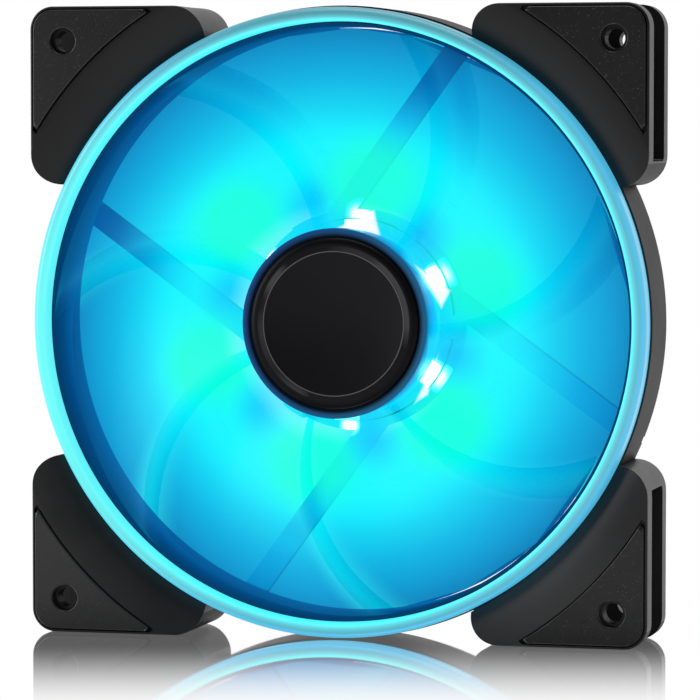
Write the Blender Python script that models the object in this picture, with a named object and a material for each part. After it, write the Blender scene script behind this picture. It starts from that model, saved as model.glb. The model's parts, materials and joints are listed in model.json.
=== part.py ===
"""Case fan, 140 mm square and 25 mm deep, standing on its bottom edge.

The fan's axis is world Y. The front, where air enters, faces -Y. The origin is on the axis, half-way
through the depth. Radii are measured from the axis and depths along Y, so a turned profile is a list of
(radius, y) points and an outline is a list of (x, z) points.
"""
from math import acos, asin, cos, degrees, pi, radians, sin, sqrt

import bmesh
import bpy
from mathutils import Matrix

MM = 0.001
GAP = 0.3 * MM                     # clearance between pieces that touch
MERGE = 0.001 * MM                 # distance under which a turned seam is closed
PAST = 1 * MM                      # how far a cutter reaches past the piece that it cuts

# Frame
SIZE = 140 * MM
HALF = SIZE / 2
FRONT = -12.5 * MM                 # front plane of the pads, the light ring and the hub cap
REAR = 12.5 * MM                   # rear plane of the pads
PAD_PROUD = 0.5 * MM               # how far a pad stands out of its flange
BODY_FRONT = FRONT + PAD_PROUD
BODY_REAR = REAR - PAD_PROUD
SHROUD_R = 69.9 * MM
SLEEVE_R = 66.1 * MM               # outside of the short sleeve that centres the light ring
SLEEVE_FRONT_Y = -9.4 * MM
DUCT_R = 65.4 * MM
DUCT_REAR_R = 66.6 * MM
DUCT_FLARE_Y = 9.0 * MM
EDGE_CHAMFER = 0.5 * MM
ROUND_STEPS = 72

# Corner pods
POD_LENGTH = 39.7 * MM             # from the corner along each side
POD_END_R = 6.7 * MM
CORNER_R = 5.2 * MM
POD_INNER_R = 68.8 * MM
POD_RING_GAP_R = 70.0 * MM         # inside of the pods beside the light ring
CREASE_R = 80.0 * MM               # where the flat corner meets the band that slopes back to the ring
BAND_PROFILE = [(CREASE_R, BODY_FRONT), (77.0 * MM, -11.5 * MM), (74.0 * MM, -10.7 * MM),
                (71.8 * MM, -9.8 * MM), (POD_RING_GAP_R, -8.8 * MM)]
SLOT_FRONT_Y = -6.5 * MM
SLOT_REAR_Y = 7.0 * MM
SLOT_LENGTH = 34.3 * MM            # from the corner along each side
SLOT_INNER_R = 72.5 * MM
HOLE_PITCH = 124.5 * MM
HOLE_R = 2.25 * MM

# Corner pads
PAD_INSET = 0.8 * MM               # from the pod's outer sides
PAD_ARC_R = 80.6 * MM
PAD_THICK = 1.5 * MM
PAD_HOLE_R = 2.9 * MM
PAD_TIP_CUT = 0.8 * MM

# Light ring
LIGHT_RING_R = (SLEEVE_R + GAP, 69.5 * MM)
LIGHT_RING_REAR_Y = -6.5 * MM
LIGHT_RING_ROUND = 1.7 * MM
LIGHT_RING_EDGE = 0.3 * MM

# Motor base and struts
BASE_R = 24.8 * MM
BASE_WALL_R = 22.9 * MM
BASE_WALL_Y = 7.4 * MM
BASE_FLOOR_Y = 10.4 * MM
BOSS_R = 7.5 * MM
BOSS_BORE_R = 5.3 * MM
BOSS_Y = 8.2 * MM
LABEL_R = 20.0 * MM
LABEL_THICK = 0.2 * MM
LABEL_RECESS = 0.5 * MM
POST_COUNT = 6
POST_START = -3.0
POST_HALF_ANGLE = 6.5
POST_R = (23.3 * MM, 24.6 * MM)
POST_Y = (3.0 * MM, 9.0 * MM)
STRUT_COUNT = 4
STRUT_ANGLE = 68.9                 # where a strut's centre line meets STRUT_OUTER_R
STRUT_OFFSET = 17.0 * MM           # distance of that line from the axis
STRUT_OUTER_R = 66.0 * MM
STRUT_END_R = 68.4 * MM
STRUT_INNER_R = 23.85 * MM
STRUT_WIDTH = 5.0 * MM
STRUT_Y = (7.2 * MM, 11.8 * MM)
LEAD_GROOVE = (1.6 * MM, 1.4 * MM)  # width and depth of the groove for the lead along one strut
LEAD_STRUT_TURN = -90
LEAD_GROOVE_R = 24.4 * MM           # where the groove starts, in the wall of the motor base

# Impeller
HUB_R = 21.0 * MM
HUB_WALL_R = 19.4 * MM
HUB_FRONT_Y = -11.8 * MM
HUB_REAR_Y = 1.3 * MM
HUB_PLATE_Y = (-10.8 * MM, -9.8 * MM)
HUB_EDGE = 0.6 * MM
HUB_BOSS_R = 4.2 * MM
HUB_BOSS_Y = -7.8 * MM
HUB_BORE_R = 3.3 * MM
HUB_BORE_Y = -10.0 * MM
HUB_STEPS = 48
BLADE_COUNT = 7
BLADE_ROOT_R = 20.2 * MM
BLADE_TIP_R = 65.1 * MM
BLADE_WRAP = 62.0                  # degrees that a blade covers, so neighbours overlap by 10.6 degrees
BLADE_SWEEP = 26.0                 # degrees that the leading edge runs ahead at the tip
BLADE_SWEEP_POWER = 1.6
BLADE_FRONT_Y = -10.6 * MM
BLADE_ROOT_DEPTH = 11.2 * MM
BLADE_TIP_DEPTH = 15.6 * MM
BLADE_CAMBER = 1.3 * MM
BLADE_THICK = 1.3 * MM
BLADE_SPANS = 5
BLADE_CHORDS = 7

# Hub cap
CAP_R = HUB_WALL_R - GAP
CAP_FLAT_R = 17.0 * MM
CAP_EDGE_DROP = 0.8                # share of the cap's depth that its rounded edge takes
CAP_REAR_Y = HUB_PLATE_Y[0] - GAP

# Rotor inside the hub
YOKE_R = (18.1 * MM, 19.1 * MM)
YOKE_Y = (-9.5 * MM, -8.7 * MM, 0.9 * MM)
YOKE_HOLE_R = 4.5 * MM
MAGNET_R = (16.6 * MM, 17.8 * MM)
MAGNET_Y = (-6.0 * MM, 0.6 * MM)
BUSHING_R = (1.8 * MM, 3.0 * MM)
BUSHING_Y = (-9.7 * MM, -8.0 * MM)
SHAFT_R = 1.5 * MM
SHAFT_Y = (-9.6 * MM, 9.3 * MM)
SHAFT_GROOVE_R = 1.1 * MM
SHAFT_GROOVE_Y = (8.2 * MM, 9.0 * MM)
SHAFT_TIP = 0.5 * MM
CLIP_R = (1.4 * MM, 3.0 * MM)
CLIP_Y = (8.5 * MM, 8.7 * MM)

# Bearing
TUBE_R = (4.25 * MM, 5.0 * MM)
TUBE_Y = (-7.2 * MM, 11.2 * MM)
SLEEVE_BEARING_R = (1.6 * MM, 3.95 * MM)
SLEEVE_BEARING_Y = (-6.3 * MM, 7.9 * MM)
SEAL_Y = (-7.0 * MM, -6.6 * MM)
SEAL_BORE_R = 1.8 * MM
THRUST_Y = (9.6 * MM, 10.1 * MM)
END_CAP_Y = (10.4 * MM, 11.2 * MM)

# Stator
POLE_COUNT = 4
POLE_START = 45.0
STATOR_R = 15.9 * MM
STATOR_BORE_R = 5.3 * MM
STATOR_Y = (-4.2 * MM, -0.2 * MM)
YOKE_RING_R = 7.2 * MM
ARM_HALF = 2.0 * MM
SHOE_R = 13.2 * MM
SHOE_HALF_ANGLE = 37.0
INSULATOR_THICK = 1.1 * MM
INSULATOR_R = 12.6 * MM
COIL_R = (8.0 * MM, 12.2 * MM)
COIL_THICK = 2.6 * MM
COIL_BEVEL = 0.8 * MM

# Circuit board
BOARD_R = 22.6 * MM
BOARD_BORE_R = 5.6 * MM
BOARD_Y = (6.2 * MM, 7.1 * MM)
LED_COUNT = 6
LED_START = 27.0
LED_R = (19.8 * MM, 22.4 * MM)
LED_WIDTH = 5.0 * MM
LED_Y = (3.4 * MM, 5.9 * MM)
LED_CAVITY = 0.5 * MM
PIN_COUNT = 3
PIN_RING_R = 6.6 * MM
PIN_HALF = 0.35 * MM
PIN_Y = (1.6 * MM, 5.9 * MM)
CHIP_SIZE = (5.0 * MM, 1.5 * MM, 4.0 * MM)
CHIP_PLACE = (12.0 * MM, 0.0 * MM)
HALL_SIZE = (3.0 * MM, 1.2 * MM, 1.6 * MM)
HALL_PLACE = (0.0 * MM, 15.6 * MM)
CAPACITOR_R = 2.2 * MM
CAPACITOR_HEIGHT = 2.7 * MM
CAPACITOR_PLACE = (-12.0 * MM, -6.0 * MM)

SMALL_STEPS = 24
HOLE_STEPS = 16
CORNER_SIGNS = {"top_right": (1, 1), "top_left": (-1, 1), "bottom_left": (-1, -1), "bottom_right": (1, -1)}


# ---------------------------------------------------------------- materials

def material(name, color, roughness, metallic=0.0):
    """A plain Principled material, made once for each name."""
    made = bpy.data.materials.get(name)
    if made:
        return made
    made = bpy.data.materials.new(name)
    made.use_nodes = True
    made.diffuse_color = (*color, 1.0)
    shader = made.node_tree.nodes["Principled BSDF"]
    shader.inputs["Base Color"].default_value = (*color, 1.0)
    shader.inputs["Roughness"].default_value = roughness
    shader.inputs["Metallic"].default_value = metallic
    return made


def black_plastic():
    return material("black_plastic", (0.035, 0.035, 0.038), 0.5)


def soft_black():
    return material("soft_black", (0.02, 0.02, 0.022), 0.35)


def lit_ring_plastic():
    return material("lit_ring_plastic", (0.25, 0.85, 0.95), 0.3)


def milky_plastic():
    return material("milky_plastic", (0.1, 0.75, 0.9), 0.35)


def cap_plastic():
    return material("cap_plastic", (0.02, 0.018, 0.02), 0.3)


def steel():
    return material("steel", (0.55, 0.56, 0.58), 0.3, 1.0)


def brass():
    return material("brass", (0.75, 0.55, 0.25), 0.35, 1.0)


def magnet_rubber():
    return material("magnet_rubber", (0.08, 0.07, 0.07), 0.7)


def copper():
    return material("copper", (0.72, 0.33, 0.15), 0.3, 1.0)


def insulator_nylon():
    return material("insulator_nylon", (0.8, 0.8, 0.75), 0.5)


def board_green():
    return material("board_green", (0.03, 0.22, 0.09), 0.4)


def chip_black():
    return material("chip_black", (0.03, 0.03, 0.03), 0.6)


def led_white():
    return material("led_white", (0.9, 0.95, 0.95), 0.3)


def label_paper():
    return material("label_paper", (0.75, 0.76, 0.78), 0.5)


# ---------------------------------------------------------------- mesh helpers

def add_object(name, mesh, finish, parent=None):
    """Link a mesh as a named object with round faces shaded smooth."""
    mesh.shade_smooth()
    mesh.set_sharp_from_angle(angle=radians(35))
    mesh.materials.append(finish)
    made = bpy.data.objects.new(name, mesh)
    bpy.context.scene.collection.objects.link(made)
    made.parent = parent
    return made


def mesh_from(name, build):
    """Turn a bmesh into a mesh with its faces pointing out."""
    bmesh.ops.recalc_face_normals(build, faces=build.faces)
    mesh = bpy.data.meshes.new(name)
    build.to_mesh(mesh)
    build.free()
    return mesh


def turned_mesh(name, profile, steps=ROUND_STEPS, closed=True):
    """Spin a (radius, y) profile about the fan's axis. An open profile starts and ends on the axis."""
    build = bmesh.new()
    verts = [build.verts.new((radius, y, 0)) for radius, y in profile]
    edges = [build.edges.new(pair) for pair in zip(verts, verts[1:])]
    if closed:
        edges.append(build.edges.new((verts[-1], verts[0])))
    bmesh.ops.spin(build, geom=verts + edges, cent=(0, 0, 0), axis=(0, 1, 0), angle=2 * pi, steps=steps)
    bmesh.ops.remove_doubles(build, verts=build.verts, dist=MERGE)
    return mesh_from(name, build)


def add_prism(build, outline, y_range):
    """Add an (x, z) outline extruded between two depths to a bmesh."""
    front, rear = y_range
    face = build.faces.new([build.verts.new((x, front, z)) for x, z in outline])
    grown = bmesh.ops.extrude_face_region(build, geom=[face])["geom"]
    moved = [item for item in grown if isinstance(item, bmesh.types.BMVert)]
    bmesh.ops.translate(build, verts=moved, vec=(0, rear - front, 0))


def prism_mesh(name, outlines, y_range):
    """A mesh of one or more separate prisms between the same two depths."""
    build = bmesh.new()
    for outline in outlines:
        add_prism(build, outline, y_range)
    return mesh_from(name, build)


def arc(radius, start, end, steps, centre=(0, 0)):
    """Points on an arc, in degrees counter-clockwise from +X as seen from the front."""
    angles = [radians(start + (end - start) * step / steps) for step in range(steps + 1)]
    return [(centre[0] + radius * cos(a), centre[1] + radius * sin(a)) for a in angles]


def circle(radius, centre=(0, 0), steps=HOLE_STEPS):
    return arc(radius, 0, 360, steps, centre)[:-1]


def turn(outline, angle):
    """Turn an (x, z) outline about the axis by an angle in degrees."""
    c, s = cos(radians(angle)), sin(radians(angle))
    return [(x * c - z * s, x * s + z * c) for x, z in outline]


def to_corner(outline, signs):
    """Mirror an outline of the top right corner into another corner."""
    return [(x * signs[0], z * signs[1]) for x, z in outline]


def helper(name, mesh):
    """A cutter or an added block, which isn't a piece of the fan."""
    made = add_object(name, mesh, black_plastic())
    made.hide_render = True
    made.display_type = "WIRE"
    return made


def combine(target, tools, operation):
    """Put one exact Boolean with all of a step's helpers on a piece."""
    group = bpy.data.collections.new(f"{target.name}_{operation.lower()}")
    bpy.context.scene.collection.children.link(group)
    for tool in tools:
        bpy.context.scene.collection.objects.unlink(tool)
        group.objects.link(tool)
    step = target.modifiers.new(group.name, "BOOLEAN")
    step.operation = operation
    step.solver = "EXACT"
    step.operand_type = "COLLECTION"
    step.collection = group


def tube_profile(radii, depths):
    """A plain tube between two radii and two depths."""
    return [(radii[0], depths[0]), (radii[1], depths[0]), (radii[1], depths[1]), (radii[0], depths[1])]


# ---------------------------------------------------------------- frame

def pod_outline():
    """Plan of the top right pod, with round ends that run into the shroud."""
    end = HALF - POD_LENGTH
    middle = end + POD_END_R
    end_angle = degrees(acos(end / POD_INNER_R))
    corner = HALF - CORNER_R
    inside = HALF - POD_END_R
    outline = arc(CORNER_R, 0, 90, 6, (corner, corner))
    outline += arc(POD_END_R, 90, 180, 6, (middle, inside))
    outline += arc(POD_INNER_R, end_angle, 90 - end_angle, 12)
    outline += arc(POD_END_R, -90, 0, 6, (inside, middle))
    return outline


def slot_outline():
    """Plan of the open slot between a pod's two flanges."""
    past = HALF + PAST
    end = HALF - SLOT_LENGTH
    start = degrees(acos(end / SLOT_INNER_R))
    return arc(SLOT_INNER_R, start, 90 - start, 12) + [(past, end), (past, past), (end, past)]


def pad_outline(grow=0.0):
    """Triangular pad with a concentric inner arc. grow gives the pocket around it."""
    side = HALF - PAD_INSET + grow
    corner = HALF - CORNER_R
    arc_r = PAD_ARC_R - grow
    start = degrees(asin((side - PAD_TIP_CUT) / arc_r))
    outline = arc(side - corner, 0, 90, 6, (corner, corner))
    outline.append((arc_r * cos(radians(start)) + PAD_TIP_CUT, side))
    outline += arc(arc_r, start, 90 - start, 10)
    outline.append((side, arc_r * cos(radians(start)) + PAD_TIP_CUT))
    return outline


def corner_outlines(outline):
    return [to_corner(outline, signs) for signs in CORNER_SIGNS.values()]


def hole_outlines(radius):
    half = HOLE_PITCH / 2
    return corner_outlines(circle(radius, (half, half)))


def strut_outline(width, inner_r, outer_r):
    """Plan of one straight strut, whose centre line passes STRUT_OFFSET from the axis."""
    foot = radians(STRUT_ANGLE) + acos(STRUT_OFFSET / STRUT_OUTER_R)
    normal = (cos(foot), sin(foot))
    along = (sin(foot), -cos(foot))
    points = []
    for radius, side in ((inner_r, 1), (outer_r, 1), (outer_r, -1), (inner_r, -1)):
        offset = STRUT_OFFSET + side * width / 2
        run = sqrt(radius ** 2 - offset ** 2)
        points.append((normal[0] * offset + along[0] * run, normal[1] * offset + along[1] * run))
    return points


def shroud_mesh():
    """Duct wall, before the light ring's seat is cut into its outside."""
    return turned_mesh("frame", [
        (DUCT_R, SLEEVE_FRONT_Y), (SHROUD_R, SLEEVE_FRONT_Y), (SHROUD_R, BODY_REAR - EDGE_CHAMFER),
        (SHROUD_R - EDGE_CHAMFER, BODY_REAR), (DUCT_REAR_R, BODY_REAR), (DUCT_R, DUCT_FLARE_Y)])


def ring_and_band_mesh():
    """Space for the light ring, leaving the sleeve inside it, and the slope in front of each pod's band."""
    past_front = FRONT - PAST
    seat = LIGHT_RING_REAR_Y + GAP
    return turned_mesh("ring_and_band", BAND_PROFILE + [
        (POD_RING_GAP_R, seat), (SLEEVE_R, seat), (SLEEVE_R, past_front), (CREASE_R, past_front)])


def base_mesh():
    """Dish behind the motor, with the boss that holds the bearing tube and the recess for the label."""
    recess = BODY_REAR - LABEL_RECESS
    return turned_mesh("motor_base", [
        (BOSS_BORE_R, BOSS_Y), (BOSS_R, BOSS_Y), (BOSS_R, BASE_FLOOR_Y), (BASE_WALL_R, BASE_FLOOR_Y),
        (BASE_WALL_R, BASE_WALL_Y), (BASE_R, BASE_WALL_Y), (BASE_R, BODY_REAR - EDGE_CHAMFER),
        (BASE_R - EDGE_CHAMFER, BODY_REAR), (LABEL_R + GAP, BODY_REAR), (LABEL_R + GAP, recess),
        (BOSS_BORE_R, recess)], HUB_STEPS)


def motor_posts():
    """Plans of the short ribs that stand between the LEDs."""
    low, high = POST_START - POST_HALF_ANGLE, POST_START + POST_HALF_ANGLE
    post = arc(POST_R[1], low, high, 2) + arc(POST_R[0], high, low, 2)
    return [turn(post, 360 / POST_COUNT * index) for index in range(POST_COUNT)]


def struts():
    strut = strut_outline(STRUT_WIDTH, STRUT_INNER_R, STRUT_END_R)
    return [turn(strut, 360 / STRUT_COUNT * index) for index in range(STRUT_COUNT)]


def make_frame():
    """One moulding: duct, corner pods, motor base, ribs and struts, less everything that is open."""
    frame = add_object("frame", shroud_mesh(), black_plastic())
    combine(frame, [
        helper("pods", prism_mesh("pods", corner_outlines(pod_outline()), (BODY_FRONT, BODY_REAR))),
        helper("motor_base", base_mesh()),
        helper("struts", prism_mesh("struts", struts(), STRUT_Y)),
        helper("posts", prism_mesh("posts", motor_posts(), POST_Y)),
    ], "UNION")
    floor = PAD_THICK - PAD_PROUD + GAP
    pocket = corner_outlines(pad_outline(GAP))
    groove_width, groove_depth = LEAD_GROOVE
    groove = turn(strut_outline(groove_width, LEAD_GROOVE_R, HALF + PAST), LEAD_STRUT_TURN)
    through = (FRONT - PAST, REAR + PAST)
    combine(frame, [
        helper("ring_and_band", ring_and_band_mesh()),
        helper("slots", prism_mesh("slots", corner_outlines(slot_outline()), (SLOT_FRONT_Y, SLOT_REAR_Y))),
        helper("front_pockets", prism_mesh("front_pockets", pocket, (FRONT - PAST, BODY_FRONT + floor))),
        helper("rear_pockets", prism_mesh("rear_pockets", pocket, (BODY_REAR - floor, REAR + PAST))),
        helper("screw_holes", prism_mesh("screw_holes", hole_outlines(HOLE_R), through)),
        helper("lead_groove", prism_mesh("lead_groove", [groove], (STRUT_Y[1] - groove_depth, REAR + PAST))),
    ], "DIFFERENCE")


def make_pads():
    """Four pads on the front flanges and four on the rear ones, each with its screw hole."""
    half = HOLE_PITCH / 2
    sides = {"front": (FRONT, FRONT + PAD_THICK), "rear": (REAR - PAD_THICK, REAR)}
    for side, depths in sides.items():
        for corner, signs in CORNER_SIGNS.items():
            name = f"{side}_pad_{corner}"
            pad = add_object(name, prism_mesh(name, [to_corner(pad_outline(), signs)], depths), soft_black())
            hole = circle(PAD_HOLE_R, (half * signs[0], half * signs[1]))
            past = (depths[0] - PAST, depths[1] + PAST)
            combine(pad, [helper(name + "_hole", prism_mesh(name + "_hole", [hole], past))], "DIFFERENCE")


def make_light_ring():
    inner, outer = LIGHT_RING_R
    shoulder = arc(LIGHT_RING_ROUND, -90, 0, 5, (outer - LIGHT_RING_ROUND, FRONT + LIGHT_RING_ROUND))
    profile = [(inner, LIGHT_RING_REAR_Y), (inner, FRONT + LIGHT_RING_EDGE),
               (inner + LIGHT_RING_EDGE, FRONT)] + shoulder + [(outer, LIGHT_RING_REAR_Y)]
    add_object("light_ring", turned_mesh("light_ring", profile), lit_ring_plastic())


# ---------------------------------------------------------------- rotor

def blade_point(across, along):
    """Mid-surface of a blade: across runs from root to tip, along from leading to trailing edge.

    The rotor turns counter-clockwise seen from the front, so the leading edge is at the front.
    """
    radius = BLADE_ROOT_R + (BLADE_TIP_R - BLADE_ROOT_R) * across
    depth = BLADE_ROOT_DEPTH + (BLADE_TIP_DEPTH - BLADE_ROOT_DEPTH) * across
    angle = radians(BLADE_SWEEP * across ** BLADE_SWEEP_POWER - BLADE_WRAP * along)
    y = BLADE_FRONT_Y + depth * along + BLADE_CAMBER * 4 * along * (1 - along)
    return radius * cos(angle), y, radius * sin(angle)


def blades_helper():
    """All blades as thin sheets, thickened by a modifier, ready to join the hub."""
    build = bmesh.new()
    for index in range(BLADE_COUNT):
        spin = Matrix.Rotation(-2 * pi * index / BLADE_COUNT, 4, "Y")
        grid = []
        for span in range(BLADE_SPANS + 1):
            row = [blade_point(span / BLADE_SPANS, chord / BLADE_CHORDS) for chord in range(BLADE_CHORDS + 1)]
            grid.append([build.verts.new(point) for point in row])
        for near, far in zip(grid, grid[1:]):
            for corner in range(BLADE_CHORDS):
                build.faces.new((near[corner], near[corner + 1], far[corner + 1], far[corner]))
        bmesh.ops.transform(build, matrix=spin, verts=[vert for row in grid for vert in row])
    blades = helper("blades", mesh_from("blades", build))
    skin = blades.modifiers.new("thickness", "SOLIDIFY")
    skin.thickness = BLADE_THICK
    skin.offset = 0
    return blades


def make_impeller(axis):
    front, rear = HUB_PLATE_Y
    profile = [(0, front), (HUB_WALL_R, front), (HUB_WALL_R, HUB_FRONT_Y), (HUB_R - HUB_EDGE, HUB_FRONT_Y),
               (HUB_R, HUB_FRONT_Y + HUB_EDGE), (HUB_R, HUB_REAR_Y), (HUB_WALL_R, HUB_REAR_Y),
               (HUB_WALL_R, rear), (HUB_BOSS_R, rear), (HUB_BOSS_R, HUB_BOSS_Y), (HUB_BORE_R, HUB_BOSS_Y),
               (HUB_BORE_R, HUB_BORE_Y), (0, HUB_BORE_Y)]
    hub = turned_mesh("impeller", profile, HUB_STEPS, closed=False)
    impeller = add_object("impeller", hub, milky_plastic(), axis)
    combine(impeller, [blades_helper()], "UNION")


def make_hub_cap(axis):
    drop = CAP_REAR_Y - FRONT
    rim = [(CAP_FLAT_R + (CAP_R - CAP_FLAT_R) * sin(radians(tilt)),
            FRONT + CAP_EDGE_DROP * drop * (1 - cos(radians(tilt)))) for tilt in (0, 30, 60, 90)]
    profile = [(0, FRONT)] + rim + [(CAP_R, CAP_REAR_Y), (0, CAP_REAR_Y)]
    add_object("hub_cap", turned_mesh("hub_cap", profile, HUB_STEPS, closed=False), cap_plastic(), axis)


def make_rotor_core(axis):
    """Steel cup with its ring magnet, and the shaft with its bushing and clip."""
    plate_front, plate_rear, rim = YOKE_Y
    yoke = [(YOKE_HOLE_R, plate_front), (YOKE_R[1], plate_front), (YOKE_R[1], rim), (YOKE_R[0], rim),
            (YOKE_R[0], plate_rear), (YOKE_HOLE_R, plate_rear)]
    add_object("rotor_yoke", turned_mesh("rotor_yoke", yoke, HUB_STEPS), steel(), axis)
    magnet = turned_mesh("ring_magnet", tube_profile(MAGNET_R, MAGNET_Y), HUB_STEPS)
    add_object("ring_magnet", magnet, magnet_rubber(), axis)
    bushing = turned_mesh("shaft_bushing", tube_profile(BUSHING_R, BUSHING_Y), SMALL_STEPS)
    add_object("shaft_bushing", bushing, brass(), axis)
    groove_front, groove_rear = SHAFT_GROOVE_Y
    shaft = [(0, SHAFT_Y[0]), (SHAFT_R, SHAFT_Y[0]), (SHAFT_R, groove_front), (SHAFT_GROOVE_R, groove_front),
             (SHAFT_GROOVE_R, groove_rear), (SHAFT_R, groove_rear), (SHAFT_R - SHAFT_TIP / 2, SHAFT_Y[1]),
             (0, SHAFT_Y[1])]
    add_object("shaft", turned_mesh("shaft", shaft, SMALL_STEPS, closed=False), steel(), axis)
    clip = turned_mesh("retaining_clip", tube_profile(CLIP_R, CLIP_Y), SMALL_STEPS)
    add_object("retaining_clip", clip, steel(), axis)


# ---------------------------------------------------------------- bearing, stator and electronics

def make_bearing():
    inside = TUBE_R[0] - GAP
    tube = turned_mesh("bearing_tube", tube_profile(TUBE_R, TUBE_Y), SMALL_STEPS)
    add_object("bearing_tube", tube, brass())
    sleeve = turned_mesh("bearing_sleeve", tube_profile(SLEEVE_BEARING_R, SLEEVE_BEARING_Y), SMALL_STEPS)
    add_object("bearing_sleeve", sleeve, brass())
    seal = turned_mesh("oil_seal_washer", tube_profile((SEAL_BORE_R, inside), SEAL_Y), SMALL_STEPS)
    add_object("oil_seal_washer", seal, insulator_nylon())
    for name, depths, finish in (("thrust_plate", THRUST_Y, insulator_nylon()),
                                 ("bearing_end_cap", END_CAP_Y, black_plastic())):
        add_object(name, prism_mesh(name, [circle(inside, steps=SMALL_STEPS)], depths), finish)


def pole_turns():
    return [POLE_START + 360 / POLE_COUNT * index for index in range(POLE_COUNT)]


def cross_outline(ring_r, arm_end_r, shoe=None):
    """Ring with one arm at each pole. A shoe adds an arc-shaped head of (inner, outer, half angle)."""
    root = degrees(asin(ARM_HALF / ring_r))
    half_gap = 180 / POLE_COUNT
    arm = [(ring_r * cos(radians(root)), -ARM_HALF)]
    if shoe:
        inner, outer, half_angle = shoe
        neck = degrees(asin(ARM_HALF / inner))
        arm += arc(inner, -neck, -half_angle, 4)
        arm += arc(outer, -half_angle, half_angle, 12)
        arm += arc(inner, half_angle, neck, 4)
    else:
        arm += [(arm_end_r, -ARM_HALF), (arm_end_r, ARM_HALF)]
    arm += arc(ring_r, root, 2 * half_gap - root, 6)[:-1]
    outline = []
    for angle in pole_turns():
        outline += turn(arm, angle)
    return outline


def add_bored(name, outline, depths, bore_r, finish):
    """A prism with a round bore on the fan's axis."""
    piece = add_object(name, prism_mesh(name, [outline], depths), finish)
    past = (depths[0] - PAST, depths[1] + PAST)
    bore = prism_mesh(name + "_bore", [circle(bore_r, steps=SMALL_STEPS)], past)
    combine(piece, [helper(name + "_bore", bore)], "DIFFERENCE")


def make_stator():
    shoe = (SHOE_R, STATOR_R, SHOE_HALF_ANGLE)
    add_bored("stator_core", cross_outline(YOKE_RING_R, 0, shoe), STATOR_Y, STATOR_BORE_R, steel())
    front = (STATOR_Y[0] - GAP - INSULATOR_THICK, STATOR_Y[0] - GAP)
    rear = (STATOR_Y[1] + GAP, STATOR_Y[1] + GAP + INSULATOR_THICK)
    arms = cross_outline(YOKE_RING_R, INSULATOR_R)
    for name, depths in (("insulator_front", front), ("insulator_rear", rear)):
        add_bored(name, arms, depths, STATOR_BORE_R, insulator_nylon())
    for index, angle in enumerate(pole_turns()):
        make_coil(f"coil_{index + 1}", angle, (front[0] - GAP, rear[1] + GAP))


def make_coil(name, angle, inside_y):
    """Winding round one pole: a thick band whose hole clears the arm and both insulators."""
    half = ARM_HALF + GAP
    centre_y = (inside_y[0] + inside_y[1]) / 2
    build = bmesh.new()
    size = (COIL_R[1] - COIL_R[0], inside_y[1] - inside_y[0] + COIL_THICK, 2 * half + COIL_THICK)
    bmesh.ops.create_cube(build, size=1, matrix=Matrix.Diagonal((*size, 1)))
    along = [edge for edge in build.edges if abs((edge.verts[0].co - edge.verts[1].co).x) > COIL_THICK / 2]
    bmesh.ops.bevel(build, geom=along, offset=COIL_BEVEL, segments=2, affect="EDGES", profile=0.5)
    coil = add_object(name, mesh_from(name, build), copper())
    hole = bmesh.new()
    hole_size = (2 * size[0], inside_y[1] - inside_y[0], 2 * half)
    bmesh.ops.create_cube(hole, size=1, matrix=Matrix.Diagonal((*hole_size, 1)))
    cutter = helper(name + "_hole", mesh_from(name + "_hole", hole))
    middle = (COIL_R[0] + COIL_R[1]) / 2
    for piece in (coil, cutter):
        piece.location = (middle * cos(radians(angle)), centre_y, middle * sin(radians(angle)))
        piece.rotation_euler = (0, -radians(angle), 0)
    combine(coil, [cutter], "DIFFERENCE")


def add_block(name, size, centre, finish, angle=0.0):
    """A block of (x, y, z) size, turned about the fan's axis."""
    build = bmesh.new()
    bmesh.ops.create_cube(build, size=1, matrix=Matrix.Diagonal((*size, 1)))
    block = add_object(name, mesh_from(name, build), finish)
    block.location = centre
    block.rotation_euler = (0, -radians(angle), 0)
    return block


def make_electronics():
    add_bored("motor_board", circle(BOARD_R, steps=HUB_STEPS), BOARD_Y, BOARD_BORE_R, board_green())
    behind = BOARD_Y[1] + GAP
    before = BOARD_Y[0] - GAP
    add_block("driver_chip", CHIP_SIZE, (CHIP_PLACE[0], behind + CHIP_SIZE[1] / 2, CHIP_PLACE[1]), chip_black())
    add_block("hall_sensor", HALL_SIZE, (HALL_PLACE[0], before - HALL_SIZE[1] / 2, HALL_PLACE[1]), chip_black())
    can = circle(CAPACITOR_R, CAPACITOR_PLACE, SMALL_STEPS)
    add_object("capacitor", prism_mesh("capacitor", [can], (behind, behind + CAPACITOR_HEIGHT)), steel())
    for index in range(PIN_COUNT):
        angle = POLE_START + 360 / POLE_COUNT * index
        pin_y = (PIN_Y[0] + PIN_Y[1]) / 2
        centre = (PIN_RING_R * cos(radians(angle)), pin_y, PIN_RING_R * sin(radians(angle)))
        size = (2 * PIN_HALF, PIN_Y[1] - PIN_Y[0], 2 * PIN_HALF)
        add_block(f"terminal_pin_{index + 1}", size, centre, brass(), angle)


def make_leds():
    """Side-facing LEDs on the board's rim, each with a shallow square window towards the blades."""
    depth = LED_Y[1] - LED_Y[0]
    for index in range(LED_COUNT):
        angle = LED_START + 360 / LED_COUNT * index
        name = f"led_{index + 1}"
        build = bmesh.new()
        size = (LED_R[1] - LED_R[0], depth, LED_WIDTH)
        bmesh.ops.create_cube(build, size=1, matrix=Matrix.Diagonal((*size, 1)))
        build.faces.ensure_lookup_table()
        face = max(build.faces, key=lambda item: item.calc_center_median().x)
        bmesh.ops.inset_region(build, faces=[face], thickness=LED_CAVITY, depth=0)
        bmesh.ops.translate(build, verts=face.verts, vec=(-LED_CAVITY, 0, 0))
        led = add_object(name, mesh_from(name, build), led_white())
        middle = (LED_R[0] + LED_R[1]) / 2
        led.location = (middle * cos(radians(angle)), LED_Y[0] + depth / 2, middle * sin(radians(angle)))
        led.rotation_euler = (0, -radians(angle), 0)


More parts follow.
